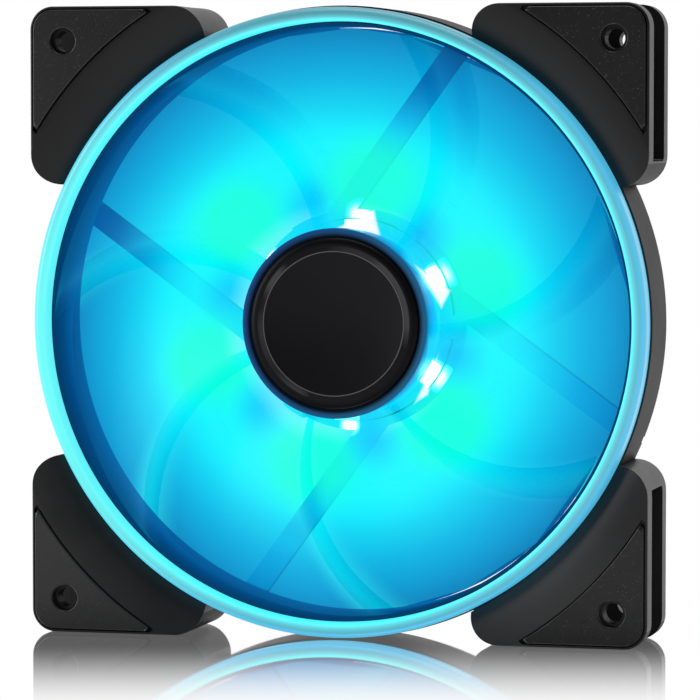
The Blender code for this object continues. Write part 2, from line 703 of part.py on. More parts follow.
def make_label():
    rear = BODY_REAR - GAP / 2
    outline = circle(LABEL_R, steps=HUB_STEPS)
    label = prism_mesh("rear_label", [outline], (rear - LABEL_THICK, rear))
    add_object("rear_label", label, label_paper())


# ---------------------------------------------------------------- assembly

def clear_scene():
    for item in list(bpy.data.objects):
        bpy.data.objects.remove(item, do_unlink=True)


def main():
    clear_scene()
    make_frame()
    make_pads()
    make_light_ring()
    axis = bpy.data.objects.new("rotor_axis", None)
    bpy.context.scene.collection.objects.link(axis)
    make_impeller(axis)
    make_hub_cap(axis)
    make_rotor_core(axis)
    make_bearing()
    make_stator()
    make_electronics()
    make_leds()
    make_label()


main()
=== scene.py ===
"""Looks for the 140 mm case fan: smooth visible pieces, materials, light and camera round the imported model.

The fan's axis is world Y and its front faces -Y. Radii are measured from that axis. Lengths are in metres.
Angles are in degrees, counter-clockwise seen from the front, with 0 at the right.
"""
import json
from math import acos, asin, cos, degrees, pi, radians, sin, sqrt, tan

import bmesh
import bpy
from mathutils import Matrix, Vector

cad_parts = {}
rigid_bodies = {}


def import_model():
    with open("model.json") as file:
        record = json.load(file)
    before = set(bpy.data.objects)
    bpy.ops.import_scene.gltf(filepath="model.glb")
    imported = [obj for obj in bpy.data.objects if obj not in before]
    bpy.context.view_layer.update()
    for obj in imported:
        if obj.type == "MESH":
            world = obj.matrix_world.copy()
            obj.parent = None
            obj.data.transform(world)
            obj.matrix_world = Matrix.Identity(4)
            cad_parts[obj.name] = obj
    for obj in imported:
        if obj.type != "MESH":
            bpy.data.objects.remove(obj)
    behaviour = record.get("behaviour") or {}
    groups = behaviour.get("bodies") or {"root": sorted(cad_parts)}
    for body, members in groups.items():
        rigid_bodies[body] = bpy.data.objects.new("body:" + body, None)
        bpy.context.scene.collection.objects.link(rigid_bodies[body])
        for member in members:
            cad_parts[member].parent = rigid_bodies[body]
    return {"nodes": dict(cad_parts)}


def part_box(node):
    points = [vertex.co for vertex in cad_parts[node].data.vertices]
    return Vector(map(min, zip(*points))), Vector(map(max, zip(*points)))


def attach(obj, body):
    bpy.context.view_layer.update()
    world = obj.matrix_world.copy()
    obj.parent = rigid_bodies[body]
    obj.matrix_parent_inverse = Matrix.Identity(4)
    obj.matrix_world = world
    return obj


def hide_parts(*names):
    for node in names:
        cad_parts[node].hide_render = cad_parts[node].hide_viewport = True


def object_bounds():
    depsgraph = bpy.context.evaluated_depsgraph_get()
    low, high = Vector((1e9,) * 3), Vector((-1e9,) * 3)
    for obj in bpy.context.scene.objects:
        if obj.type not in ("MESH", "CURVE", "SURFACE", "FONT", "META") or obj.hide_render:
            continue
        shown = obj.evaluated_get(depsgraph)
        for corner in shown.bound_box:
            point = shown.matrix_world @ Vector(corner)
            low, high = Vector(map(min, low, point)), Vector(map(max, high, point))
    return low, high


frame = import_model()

MM = 0.001
cad_low, cad_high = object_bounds()

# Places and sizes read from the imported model
frame_low, frame_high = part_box("frame")
ring_low, ring_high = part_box("light_ring")
pad_low, pad_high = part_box("front_pad_top_right")
rear_pad_low, rear_pad_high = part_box("rear_pad_top_right")
cap_low, cap_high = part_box("hub_cap")
label_low, label_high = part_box("rear_label")
HALF = frame_high.x
BODY_FRONT, BODY_REAR = frame_low.y, frame_high.y
RING_R, RING_FRONT, RING_REAR = ring_high.x, ring_low.y, ring_high.y
CAP_R, CAP_FRONT, CAP_REAR = cap_high.x, cap_low.y, cap_high.y

# Frame details
GAP = 0.3 * MM                    # clearance between pieces
PAST = 1.0 * MM                   # how far a cutting tool runs past what it cuts
TINY = 1e-6                       # reach for telling whether a point lies on a plane
ROUND = 0.45 * MM                 # rounding of the moulding's outer edges
ROUND_STEPS = 4
CORNER_STEPS, LONG_STEPS, HOLE_STEPS = 12, 40, 48
TURN_STEPS, HUB_STEPS, BASE_STEPS = 240, 160, 120
SHROUD_R = 69.9 * MM
SLEEVE_R = 66.1 * MM
SLEEVE_FRONT_Y = -9.4 * MM
DUCT_R = 65.4 * MM
DUCT_REAR_R = 66.6 * MM
DUCT_FLARE_Y = 9.0 * MM
POD_LENGTH = 39.7 * MM
POD_END_R = 6.7 * MM
CORNER_R = 5.2 * MM
POD_INNER_R = 68.6 * MM
CREASE_R = 80.0 * MM
BAND_INNER_R = 70.0 * MM          # inside of the pods beside the light ring
BAND_DROP = 3.2 * MM              # how far the band slopes back between the crease and the ring
BAND_EVEN, BAND_POWER = 0.35, 2.7  # share of the drop that is even, and how late the rest comes
BAND_STEPS = 10
SLOT_Y = (-6.5 * MM, 7.0 * MM)
SLOT_LENGTH = 34.3 * MM
SLOT_INNER_R = 72.5 * MM
SLOT_ROUND = 1.0 * MM             # rounding of the slot's inner ends
SLOT_RIM_ROUND = 0.4 * MM
HOLE_HALF_PITCH = 62.25 * MM
HOLE_R = 2.25 * MM
PAD_INSET = 0.8 * MM
PAD_ARC_R = 80.6 * MM
PAD_TIP_CUT = 0.8 * MM
PAD_HOLE_R = 2.9 * MM
PAD_ROUND = 0.3 * MM
PAD_MOUTH = 0.35 * MM             # rounding at the mouth of the pad's hole

# Motor base and struts
BASE_R = 24.8 * MM
BASE_WALL_R = 22.9 * MM
BASE_WALL_Y = 7.4 * MM
BASE_FLOOR_Y = 10.4 * MM
BOSS_R = 7.5 * MM
BOSS_BORE_R = 5.3 * MM
BOSS_Y = 8.2 * MM
LABEL_RECESS = 0.5 * MM
POST_COUNT, POST_START, POST_HALF_ANGLE = 6, -3.0, 6.5
POST_R = (23.3 * MM, 24.6 * MM)
POST_Y = (3.0 * MM, 9.0 * MM)
STRUT_COUNT, STRUT_ANGLE = 4, 68.9
STRUT_OFFSET = 17.0 * MM
STRUT_OUTER_R = 66.0 * MM
STRUT_END_R = 68.4 * MM
STRUT_INNER_R = 23.85 * MM
STRUT_WIDTH = 5.0 * MM
STRUT_Y = (7.2 * MM, 11.8 * MM)
STRUT_ROUND = 0.7 * MM
LEAD_GROOVE = (1.6 * MM, 1.4 * MM)  # width and depth
LEAD_STRUT_TURN = -90
LEAD_GROOVE_R = 24.4 * MM

# Impeller
HUB_R = 21.0 * MM
HUB_WALL_R = 19.4 * MM
HUB_Y = (-11.8 * MM, 1.3 * MM)
HUB_PLATE_Y = (-10.8 * MM, -9.8 * MM)
BLADE_COUNT = 7
BLADE_ROOT_R = 20.4 * MM
BLADE_TIP_R = 65.1 * MM
BLADE_WRAP = 62.0
BLADE_SWEEP, BLADE_SWEEP_POWER = 26.0, 1.6
BLADE_FRONT_Y = -10.6 * MM
BLADE_ROOT_DEPTH, BLADE_TIP_DEPTH = 11.2 * MM, 15.6 * MM
BLADE_CAMBER = 1.3 * MM
BLADE_THICK = 1.3 * MM
BLADE_NOSE, BLADE_TAPER = 1.15, 0.45  # share of the thickness at the nose, and how much the tail loses
BLADE_ROOT_GAIN, BLADE_ROOT_SHARE = 1.1, 0.06  # thickening at the root, over this share of the span
BLADE_TIP_ROUND = 0.6 * MM
BLADE_SPANS, BLADE_CHORDS = 26, 22

# Hub cap
CAP_FLAT_R = 17.2 * MM
CAP_BEAD_R = 15.9 * MM

# Shared tones
WHITE = (1.0, 1.0, 1.0)
BLACK = (0.012, 0.012, 0.013)       # the frame's moulding
# painted shade: deeper black for the top of the frame and the cap's rounded edge
SHADE_BLACK = (0.002, 0.002, 0.003)

# Light of the LEDs
LED_START = 27.0
LED_STRENGTH = 30.0
LED_SPILL = 4.4 * MM                # reach of the light beside each LED
LOW_LED_SHARE = 0.7                 # the lowest LED spills less light towards the front
BOARD_SPILL_R, RIM_SPILL_R = 21.5 * MM, 23.9 * MM
# Patches of LED light on the blade roots: start angle, start radius, tip radius
LIGHT_WEDGES = ((92.5, 20.4 * MM, 25.6 * MM), (35.0, 21.7 * MM, 25.2 * MM), (-21.5, 23.2 * MM, 24.7 * MM))
WEDGE_TURN, WEDGE_TIP_TURN = 26.0, 18.5
WEDGE_RISE = 0.6 * MM               # how much further out a patch ends than it starts
WEDGE_SOFT = 0.35 * MM

# Studio light, floor and camera
SIDE_BOX_PLACE, SIDE_BOX_SIZE, SIDE_BOX_POWER = (-0.75, -0.37, 0.12), (0.35, 0.8), 4.6
TOP_BOX_PLACE, TOP_BOX_SIZE, TOP_BOX_POWER = (0.0, -0.1, 0.9), (0.6, 0.6), 3.6
ROOM_FRONT, ROOM_BACK = (-0.6, 0.10), (0.7, 1.0)  # direction along Y, and the room's strength there
CAMERA_AZIMUTH, CAMERA_ELEVATION = 14.28, 3.17
CAMERA_DISTANCE = 0.8902
CAMERA_OFFSET = (0.00063, -0.0064)  # sideways and upwards in the camera's own plane
CAMERA_LENS, SENSOR = 205.66, 36.0
FLOOR_SIZE = 8
FLOOR_DROP = 0.05 * MM
FLOOR_MIRROR = (0.91, 0.04)         # mirror share near the fan and far in front of it
FLOOR_FADE = (15 * MM, 122 * MM)    # before the fan's centre, from most mirror to least
FLOOR_FADE_BESIDE = (76 * MM, 100 * MM)
FLOOR_FADE_BEHIND = (8 * MM, 55 * MM)


# ---------------- mesh helpers

def link(name, mesh, smooth_angle=38.0):
    """Link a mesh as a smooth object, with sharp edges kept."""
    mesh.shade_smooth()
    mesh.set_sharp_from_angle(angle=radians(smooth_angle))
    made = bpy.data.objects.new(name, mesh)
    bpy.context.scene.collection.objects.link(made)
    return made


def weigh_normals(piece):
    step = piece.modifiers.new("flat_faces", "WEIGHTED_NORMAL")
    step.keep_sharp = True
    step.weight = 60


def to_mesh(name, build):
    bmesh.ops.recalc_face_normals(build, faces=build.faces)
    mesh = bpy.data.meshes.new(name)
    build.to_mesh(mesh)
    build.free()
    return mesh


def arc(radius, start, end, steps, centre=(0, 0)):
    angles = [radians(start + (end - start) * step / steps) for step in range(steps + 1)]
    return [(centre[0] + radius * cos(a), centre[1] + radius * sin(a)) for a in angles]


def circle(radius, centre):
    return arc(radius, 0, 360, HOLE_STEPS, centre)[:-1]


def fillet(corners, steps=ROUND_STEPS):
    """Round the corners of a closed outline. Each corner is (a, b) or (a, b, radius)."""
    outline = []
    for index, corner in enumerate(corners):
        radius = corner[2] if len(corner) > 2 else 0
        here = Vector(corner[:2])
        if not radius:
            outline.append(tuple(here))
            continue
        before = (Vector(corners[index - 1][:2]) - here).normalized()
        after = (Vector(corners[(index + 1) % len(corners)][:2]) - here).normalized()
        half = before.angle(after) / 2
        centre = here + (before + after).normalized() * (radius / sin(half))
        first = here + before * (radius / tan(half)) - centre
        turn_by = pi - 2 * half
        if first.x * after.y - first.y * after.x < 0:
            turn_by = -turn_by
        for step in range(steps + 1):
            a = turn_by * step / steps
            outline.append((centre.x + first.x * cos(a) - first.y * sin(a),
                            centre.y + first.x * sin(a) + first.y * cos(a)))
    return outline


def turn(outline, angle):
    c, s = cos(radians(angle)), sin(radians(angle))
    return [(x * c - z * s, x * s + z * c) for x, z in outline]


def spin_about_y(angle):
    """Matrix that turns by degrees counter-clockwise seen from the front."""
    return Matrix.Rotation(-radians(angle), 4, "Y")


def turned(name, profile, steps=TURN_STEPS, closed=True):
    """Mesh of a (radius, y) profile turned about the fan's axis. An open profile ends on the axis."""
    build = bmesh.new()
    rings = []
    for radius, y in profile:
        count = steps if radius > 0 else 1
        rings.append([build.verts.new((radius * cos(2 * pi * k / steps), y, radius * sin(2 * pi * k / steps)))
                      for k in range(count)])
    pairs = list(zip(rings, rings[1:])) + ([(rings[-1], rings[0])] if closed else [])
    for near, far in pairs:
        for k in range(steps):
            m = (k + 1) % steps
            corners = [near[k % len(near)], near[m % len(near)], far[m % len(far)], far[k % len(far)]]
            build.faces.new(list(dict.fromkeys(corners)))
    return to_mesh(name, build)


def loft(name, loops):
    """Closed mesh through a list of loops of 3-D points, with flat ends."""
    build = bmesh.new()
    rings = [[build.verts.new(point) for point in loop] for loop in loops]
    count = len(rings[0])
    for near, far in zip(rings, rings[1:]):
        for k in range(count):
            m = (k + 1) % count
            build.faces.new((near[k], near[m], far[m], far[k]))
    build.faces.new(rings[0])
    build.faces.new(rings[-1])
    return to_mesh(name, build)


def rounded_prism(name, outline_at, depths, radius):
    """Prism whose two end edges are rounded. outline_at(grow) gives the (x, z) outline, grown or shrunk."""
    front, rear = depths
    inset = [(front + drop, shrink) for drop, shrink in
             [(radius * (1 - cos(pi / 2 * k / ROUND_STEPS)), -radius * (1 - sin(pi / 2 * k / ROUND_STEPS)))
              for k in range(ROUND_STEPS + 1)]]
    both = inset + [(front + rear - y, shrink) for y, shrink in reversed(inset)]
    return loft(name, [[(x, y, z) for x, z in outline_at(shrink)] for y, shrink in both])


def prism(name, outline, depths):
    return loft(name, [[(x, y, z) for x, z in outline] for y in depths])


def combined(mesh, tools, operation):
    """Mesh after one exact Boolean with other meshes."""
    base = link("base", mesh)
    group = bpy.data.collections.new("tools")
    for tool in tools:
        group.objects.link(bpy.data.objects.new("tool", tool))
    step = base.modifiers.new("cut", "BOOLEAN")
    step.operation, step.solver = operation, "EXACT"
    step.operand_type, step.collection = "COLLECTION", group
    bpy.context.view_layer.update()
    result = bpy.data.meshes.new_from_object(base.evaluated_get(bpy.context.evaluated_depsgraph_get()))
    result.name = mesh.name
    for item in [base, *group.objects]:
        bpy.data.objects.remove(item)
    bpy.data.collections.remove(group)
    return result


def bevel_edges(mesh, chosen, width, segments):
    """Bevel the edges between two faces that a test picks."""
    build = bmesh.new()
    build.from_mesh(mesh)
    picked = [edge for edge in build.edges if len(edge.link_faces) == 2 and chosen(edge)]
    bmesh.ops.bevel(build, geom=picked, offset=width, segments=segments, affect="EDGES", profile=0.5,
                    clamp_overlap=True)
    build.to_mesh(mesh)
    build.free()
    return mesh


def joined(name, parts):
    """One mesh from several (mesh, matrix) parts. A part keeps its own material number."""
    build = bmesh.new()
    for mesh, matrix in parts:
        before = len(build.verts)
        build.from_mesh(mesh)
        build.verts.ensure_lookup_table()
        bmesh.ops.transform(build, matrix=matrix, verts=build.verts[before:])
    mesh = bpy.data.meshes.new(name)
    build.to_mesh(mesh)
    build.free()
    return mesh


# ---------------- shader helpers

class Shader:
    """A node material under construction. Most methods add nodes and return an output socket."""

    def __init__(self, name):
        self.material = bpy.data.materials.new(name)
        self.material.use_nodes = True
        self.tree = self.material.node_tree
        self.principled = self.tree.nodes["Principled BSDF"]
        self.coords = self.add("ShaderNodeTexCoord").outputs["Object"]

    def add(self, kind):
        return self.tree.nodes.new(kind)

    def feed(self, socket, value):
        if isinstance(value, bpy.types.NodeSocket):
            self.tree.links.new(value, socket)
        elif value is not None:
            socket.default_value = value

    def math(self, operation, *values):
        """Chain of math nodes from the first value to the last. A single value gets one node."""
        total = values[0]
        for value in values[1:] or (None,):
            node = self.add("ShaderNodeMath")
            node.operation = operation
            self.feed(node.inputs[0], total)
            self.feed(node.inputs[1], value)
            total = node.outputs[0]
        return total

    def length(self, a, b):
        """Length of the hypotenuse over two sides."""
        squares = self.math("ADD", self.math("MULTIPLY", a, a), self.math("MULTIPLY", b, b))
        return self.math("SQRT", squares)

    def noise(self, scale, detail=3.0, roughness=0.5, vector=None):
        node = self.add("ShaderNodeTexNoise")
        self.feed(node.inputs["Vector"], vector or self.coords)
        node.inputs["Scale"].default_value = scale
        node.inputs["Detail"].default_value = detail
        node.inputs["Roughness"].default_value = roughness
        return node.outputs["Fac"]

    def span(self, value, low, high, to_low=0.0, to_high=1.0, smooth=False):
        """Map a value from one range to another, clamped."""
        node = self.add("ShaderNodeMapRange")
        node.interpolation_type = "SMOOTHSTEP" if smooth else "LINEAR"
        for name, item in (("Value", value), ("From Min", low), ("From Max", high),
                           ("To Min", to_low), ("To Max", to_high)):
            self.feed(node.inputs[name], item)
        return node.outputs["Result"]

    def ramp(self, value, stops):
        """Colours between stops of (place, (r, g, b))."""
        node = self.add("ShaderNodeValToRGB")
        self.feed(node.inputs["Fac"], value)
        elements = node.color_ramp.elements
        while len(elements) < len(stops):
            elements.new(0.5)
        for element, (place, _) in zip(elements, stops):
            element.position = place
        for element, (_, color) in zip(elements, stops):
            element.color = (*color, 1.0)
        return node.outputs["Color"]

    def mix(self, factor, first, second):
        node = self.add("ShaderNodeMix")
        node.data_type = "RGBA"
        self.feed(node.inputs[0], factor)
        for socket, value in ((node.inputs[6], first), (node.inputs[7], second)):
            self.feed(socket, (*value, 1.0) if isinstance(value, tuple) else value)
        return node.outputs[2]

    def parts(self):
        """X, Y and Z of the piece's own coordinates."""
        node = self.add("ShaderNodeSeparateXYZ")
        self.feed(node.inputs[0], self.coords)
        return node.outputs

    def radius(self):
        """Distance from the fan's axis."""
        x, _, z = self.parts()
        return self.length(x, z)

    def bump(self, height, strength, distance):
        node = self.add("ShaderNodeBump")
        node.inputs["Strength"].default_value = strength
        node.inputs["Distance"].default_value = distance
        self.feed(node.inputs["Height"], height)
        self.feed(self.principled.inputs["Normal"], node.outputs[0])

    def set(self, **values):
        """Set Principled sockets, with _ for a space in a name."""
        for name, value in values.items():
            socket = self.principled.inputs[name.replace("_", " ")]
            if isinstance(value, tuple) and len(value) == 3 and len(socket.default_value) == 4:
                value = (*value, 1.0)
            self.feed(socket, value)
        return self

    def glow_near(self, centre_x, centre_z, size):
        """Round soft spot, 1 at an (x, z) place and 0 past size."""
        x, _, z = self.parts()
        away = self.length(self.math("SUBTRACT", x, centre_x), self.math("SUBTRACT", z, centre_z))
        return self.span(away, 0.0, size, 1.0, 0.0, smooth=True)

    def led_spots(self, radius, angle, size, lowest=1.0):
        """Six soft spots evenly round the axis. The lowest can be drawn smaller."""
        places = [radians(angle + 360 / POST_COUNT * index) for index in range(POST_COUNT)]
        low = min(places, key=sin)
        return self.math("MAXIMUM", *[self.glow_near(radius * cos(a), radius * sin(a),
                                                     size * lowest if a == low else size) for a in places])

    def wedge(self, start_angle, start_r, tip_r):
        """Three-cornered patch that widens clockwise round the axis, 1 inside and 0 outside."""
        places = ((start_angle, start_r), (start_angle - WEDGE_TIP_TURN, tip_r),
                  (start_angle - WEDGE_TURN, start_r + WEDGE_RISE))
        corners = [Vector((r * cos(radians(a)), r * sin(radians(a)))) for a, r in places]
        x, _, z = self.parts()
        sides = []
        for first, second in zip(corners, corners[1:] + corners[:1]):
            run = (second - first).normalized()
            inward = Vector((run.y, -run.x))
            reach = self.math("ADD", self.math("MULTIPLY", x, inward.x), self.math("MULTIPLY", z, inward.y))
            edge = inward.dot(first)
            sides.append(self.span(reach, edge - WEDGE_SOFT, edge + WEDGE_SOFT))
        return self.math("MINIMUM", *sides)

    def leave_unsampled(self):
        """Keep a small bright emission out of the light sampling."""
        self.material.cycles.emission_sampling = "NONE"


def moulded(name, color, rough, grain=0.25 * MM, depth=0.02 * MM):
    """Fine spark-textured moulding with slightly uneven gloss."""
    shader = Shader(name)
    fine = shader.noise(1 / grain, 2.0, 0.6)
    broad = shader.noise(60.0, 4.0, 0.6)
    darker = tuple(0.8 * part for part in color)
    lighter = tuple(1.25 * part for part in color)
    shader.tone = shader.ramp(broad, [(0.3, darker), (0.7, lighter)])
    shader.set(Base_Color=shader.tone,
               Roughness=shader.span(shader.mix(0.5, fine, broad), 0.3, 0.7, rough - 0.05, rough + 0.07))
    shader.bump(fine, 0.35, depth)
    return shader


def metal(name, color, rough, grain=(400.0, 30.0, 400.0)):
    """Ground or drawn metal, streaked along one direction."""
    shader = Shader(name)
    stretch = shader.add("ShaderNodeMapping")
    shader.feed(stretch.inputs["Vector"], shader.coords)
    stretch.inputs["Scale"].default_value = grain
    streaks = shader.noise(8.0, 4.0, 0.6, stretch.outputs[0])
    darker = tuple(0.82 * part for part in color)
    shader.set(Base_Color=shader.ramp(streaks, [(0.3, darker), (0.7, color)]), Metallic=1.0,
               Roughness=shader.span(streaks, 0.2, 0.8, rough - 0.08, rough + 0.1))
    shader.bump(streaks, 0.15, 0.02 * MM)
    return shader


# ---------------- materials

def frame_plastic():
    """Black moulding, with a painted sheen that makes it paler at the lower right, and painted shade that
    makes it deeper black towards the top.
    """
    shader = moulded("frame_plastic", BLACK, 0.42)
    _, _, z = shader.parts()
    # painted shade: deeper black towards the top
    tone = shader.mix(shader.span(z, 10 * MM, 45 * MM), shader.tone, SHADE_BLACK)
    # painted sheen: a paler patch at the lower right
    painted_sheen = shader.glow_near(46 * MM, -57 * MM, 30 * MM)
    tone = shader.mix(painted_sheen, tone, (0.040, 0.040, 0.041))
    return shader.set(Base_Color=tone, Specular_IOR_Level=0.32).material


def side_plastic():
    """The same moulding, flatter in its gloss: outside of the shroud and the undersides of the pods."""
    return moulded("side_plastic", BLACK, 0.5).set(Specular_IOR_Level=0.12).material


def inside_plastic():
    """The same moulding in the impeller's light: all inside the duct that doesn't face the rear."""
    shader = moulded("inside_plastic", (0.004, 0.004, 0.005), 0.6)
    _, y, _ = shader.parts()
    radius = shader.radius()
    wall = shader.ramp(shader.span(y, SLEEVE_FRONT_Y, BODY_REAR), [
        (0.0, (0.0, 0.045, 0.14)), (0.3, (0.0, 0.065, 0.22)), (0.7, (0.001, 0.13, 0.40)),
        (1.0, (0.002, 0.20, 0.50))])
    strut = shader.ramp(shader.span(radius, BASE_R, DUCT_R), [
        (0.0, (0.0, 0.62, 0.92)), (0.3, (0.0, 0.58, 0.88)), (0.5, (0.0, 0.36, 0.76)),
        (0.65, (0.0, 0.14, 0.52)), (0.8, (0.0, 0.03, 0.38)), (1.0, (0.0, 0.02, 0.34))])
    lower_ends = shader.math("MAXIMUM", shader.glow_near(50 * MM, -26 * MM, 36 * MM),
                             shader.glow_near(-19 * MM, -61 * MM, 22 * MM))
    strut = shader.mix(shader.span(lower_ends, 0.0, 0.5, 0.0, 0.95), strut, (0.2, 0.86, 1.0))
    shade = shader.math("MULTIPLY", shader.span(y, STRUT_Y[0] + 0.8 * MM, BODY_REAR, 0.0, 0.92),
                        shader.span(radius, BASE_R, BASE_R + 2 * MM))
    strut = shader.mix(shade, strut, (0.0, 0.06, 0.14))
    light = shader.mix(shader.span(radius, DUCT_R - 0.6 * MM, DUCT_R - 0.2 * MM), strut, wall)
    rim = shader.math("MULTIPLY", shader.led_spots(RIM_SPILL_R, LED_START, LED_SPILL, LOW_LED_SHARE),
                      shader.span(y, 8 * MM, 9 * MM, 1.0, 0.0))
    light = shader.mix(rim, light, WHITE)
    shader.set(Emission_Color=light, Emission_Strength=shader.span(rim, 0.1, 0.9, 1.0, LED_STRENGTH),
               Specular_IOR_Level=0.0, IOR=1.0)
    shader.leave_unsampled()
    return shader.material


def pad_plastic():
    """Satin black with fine pale specks, and painted light that makes it paler towards the lower left."""
    shader = moulded("pad_plastic", (0.010, 0.010, 0.011), 0.30, 0.18 * MM, 0.012 * MM)
    specks = shader.noise(2600.0, 1.0, 0.5)
    x, _, z = shader.parts()
    # painted light: the pads grow paler towards the lower left and darker towards the upper right
    low_left = shader.span(shader.math("ADD", x, z), 110 * MM, -110 * MM)
    painted_light_tone = shader.ramp(low_left, [(0.0, (0.003, 0.003, 0.004)), (0.5, (0.010, 0.010, 0.011)),
                                   (1.0, (0.022, 0.022, 0.023))])
    tint = shader.mix(shader.span(specks, 0.68, 0.74), painted_light_tone, (0.05, 0.05, 0.05))
    return shader.set(Base_Color=tint, Specular_IOR_Level=0.4).material


def ring_plastic():
    """Lit ring: brightest along its inner edge and on the side lit most, dimmer over its outer shoulder."""
    shader = Shader("ring_plastic")
    x, _, z = shader.parts()
    radius = shader.radius()
    across = shader.span(radius, RING_R - 3.1 * MM, RING_R)
    off_middle = shader.math("ABSOLUTE", shader.math("ADD", z, 15 * MM))
    side = shader.span(shader.math("ADD", x, off_middle), -55 * MM, 30 * MM)
    strong = shader.ramp(across, [
        (0.0, (0.12, 0.86, 0.88)), (0.2, (0.10, 0.93, 0.85)), (0.7, (0.09, 0.90, 0.86)),
        (0.88, (0.08, 0.82, 0.86)), (1.0, (0.06, 0.52, 0.56))])
    weak = shader.ramp(across, [
        (0.0, (0.07, 0.95, 1.00)), (0.14, (0.08, 0.90, 0.92)), (0.3, (0.09, 0.60, 0.70)),
        (0.55, (0.07, 0.40, 0.50)), (0.8, (0.05, 0.46, 0.74)), (1.0, (0.06, 0.40, 0.62))])
    cloud = shader.noise(45.0, 3.0, 0.5)
    light = shader.mix(side, strong, weak)
    # painted shade: the top of the ring darkened away from its inner edge
    crown = shader.math("MULTIPLY", shader.span(z, 50 * MM, 66 * MM),
                        shader.span(across, 0.15, 0.6, 0.0, 0.8))
    light = shader.mix(crown, light, (0.03, 0.20, 0.22))
    light = shader.mix(shader.span(cloud, 0.3, 0.7, 0.0, 0.12), light, (0.02, 0.5, 0.75))
    shader.set(Base_Color=(0.06, 0.10, 0.11), Roughness=shader.span(cloud, 0.3, 0.7, 0.28, 0.38),
               Emission_Color=light, Emission_Strength=1.0)
    shader.bump(shader.noise(900.0, 2.0), 0.1, 0.01 * MM)
    return shader.material


def blade_plastic():
    """Milky blade, lit from the hub: clearer near the LEDs, towards its tip and along its thin edges."""
    shader = Shader("blade_plastic")
    _, y, _ = shader.parts()
    away = shader.radius()
    radius = shader.span(away, 20 * MM, 66 * MM)
    light = shader.ramp(radius, [
        (0.00, (0.012, 0.75, 0.95)), (0.13, (0.011, 0.93, 0.93)), (0.42, (0.010, 0.92, 0.97)),
        (0.50, (0.009, 0.84, 0.97)), (0.61, (0.008, 0.64, 0.87)), (0.74, (0.007, 0.46, 0.76)),
        (0.88, (0.007, 0.32, 0.63)), (1.00, (0.007, 0.20, 0.45))])
    lobes = shader.led_spots(32 * MM, 17.0, 15 * MM)
    light = shader.mix(shader.span(lobes, 0.0, 0.65), light, (0.013, 1.0, 0.70))
    between = shader.led_spots(27 * MM, 46.0, 9 * MM)
    light = shader.mix(shader.span(between, 0.0, 1.0, 0.0, 0.75), light, (0.006, 0.52, 0.95))
    cloud = shader.noise(25.0, 3.0, 0.5)
    light = shader.mix(shader.span(cloud, 0.35, 0.75, 0.0, 0.12), light, (0.008, 0.55, 0.95))
    beams = shader.math("MAXIMUM", *[shader.wedge(*patch) for patch in LIGHT_WEDGES])
    light = shader.mix(beams, light, WHITE)
    near_hub = shader.span(away, 23.5 * MM, 27.5 * MM, 1.0, 0.0)
    tint = shader.mix(near_hub, light, (0.30, 0.95, 1.0))
    depth = shader.span(radius, 0.0, 1.0, BLADE_ROOT_DEPTH, BLADE_TIP_DEPTH)
    along = shader.math("DIVIDE", shader.math("SUBTRACT", y, BLADE_FRONT_Y), depth)
    edge = shader.math("ABSOLUTE", shader.math("SUBTRACT", along, 0.5))
    thin = shader.span(edge, 0.32, 0.5, smooth=True)
    tint = shader.mix(shader.span(thin, 0.0, 1.0, 0.0, 0.8), tint, (0.04, 1.0, 1.0))
    inside = shader.add("ShaderNodeNewGeometry").outputs["Backfacing"]
    clear_share = shader.math("MAXIMUM", shader.span(near_hub, 0.0, 1.0, 0.20, 0.34),
                              shader.span(away, 36 * MM, 56 * MM, 0.20, 0.68),
                              shader.span(thin, 0.0, 1.0, 0.20, 0.92), inside)
    tint = shader.mix(inside, tint, WHITE)
    shader.set(Base_Color=(0.002, 0.05, 0.08), Roughness=shader.span(cloud, 0.3, 0.7, 0.42, 0.55),
               Emission_Color=light, Emission_Strength=shader.span(beams, 0.0, 1.0, 1.0, 1.3),
               Specular_IOR_Level=0.2)
    shader.bump(shader.noise(700.0, 2.0), 0.12, 0.01 * MM)
    clear = shader.add("ShaderNodeBsdfTransparent")
    shader.feed(clear.inputs["Color"], tint)
    blend = shader.add("ShaderNodeMixShader")
    for socket, value in zip(blend.inputs, (clear_share, shader.principled.outputs[0], clear.outputs[0])):
        shader.feed(socket, value)
    shader.feed(shader.tree.nodes["Material Output"].inputs["Surface"], blend.outputs[0])
    return shader.material


def hub_plastic():
    """Hub wall: lit from behind, so it darkens from cyan at the rear to deep blue at its front rim."""
    shader = Shader("hub_plastic")
    x, y, z = shader.parts()
    depth = shader.span(y, HUB_Y[0], HUB_Y[1])
    slanted = shader.math("ADD", x, shader.math("MULTIPLY", z, -0.35))
    side = shader.span(slanted, -22 * MM, 20 * MM, smooth=True)
    bright = shader.ramp(depth, [(0.0, (0.010, 0.085, 0.18)), (0.045, (0.007, 0.14, 0.31)),
                                 (0.16, (0.007, 0.26, 0.57)), (0.4, (0.006, 0.40, 0.86)),
                                 (0.7, (0.006, 0.57, 0.95)), (1.0, (0.01, 0.76, 1.0))])
    dim = shader.ramp(depth, [(0.0, (0.003, 0.042, 0.17)), (0.3, (0.004, 0.08, 0.32)),
                              (1.0, (0.006, 0.30, 0.62))])
    light = shader.mix(side, dim, bright)
    outside = shader.span(shader.radius(), HUB_WALL_R + 0.1 * MM, HUB_WALL_R + 0.9 * MM)
    light = shader.mix(outside, (0.0, 0.004, 0.012), light)
    cloud = shader.noise(80.0, 3.0)
    shader.set(Base_Color=(0.004, 0.01, 0.02), Roughness=shader.span(cloud, 0.3, 0.7, 0.35, 0.5),
               Emission_Color=light, Emission_Strength=1.0, Specular_IOR_Level=0.1)
    shader.bump(cloud, 0.05, 0.02 * MM)
    return shader.material


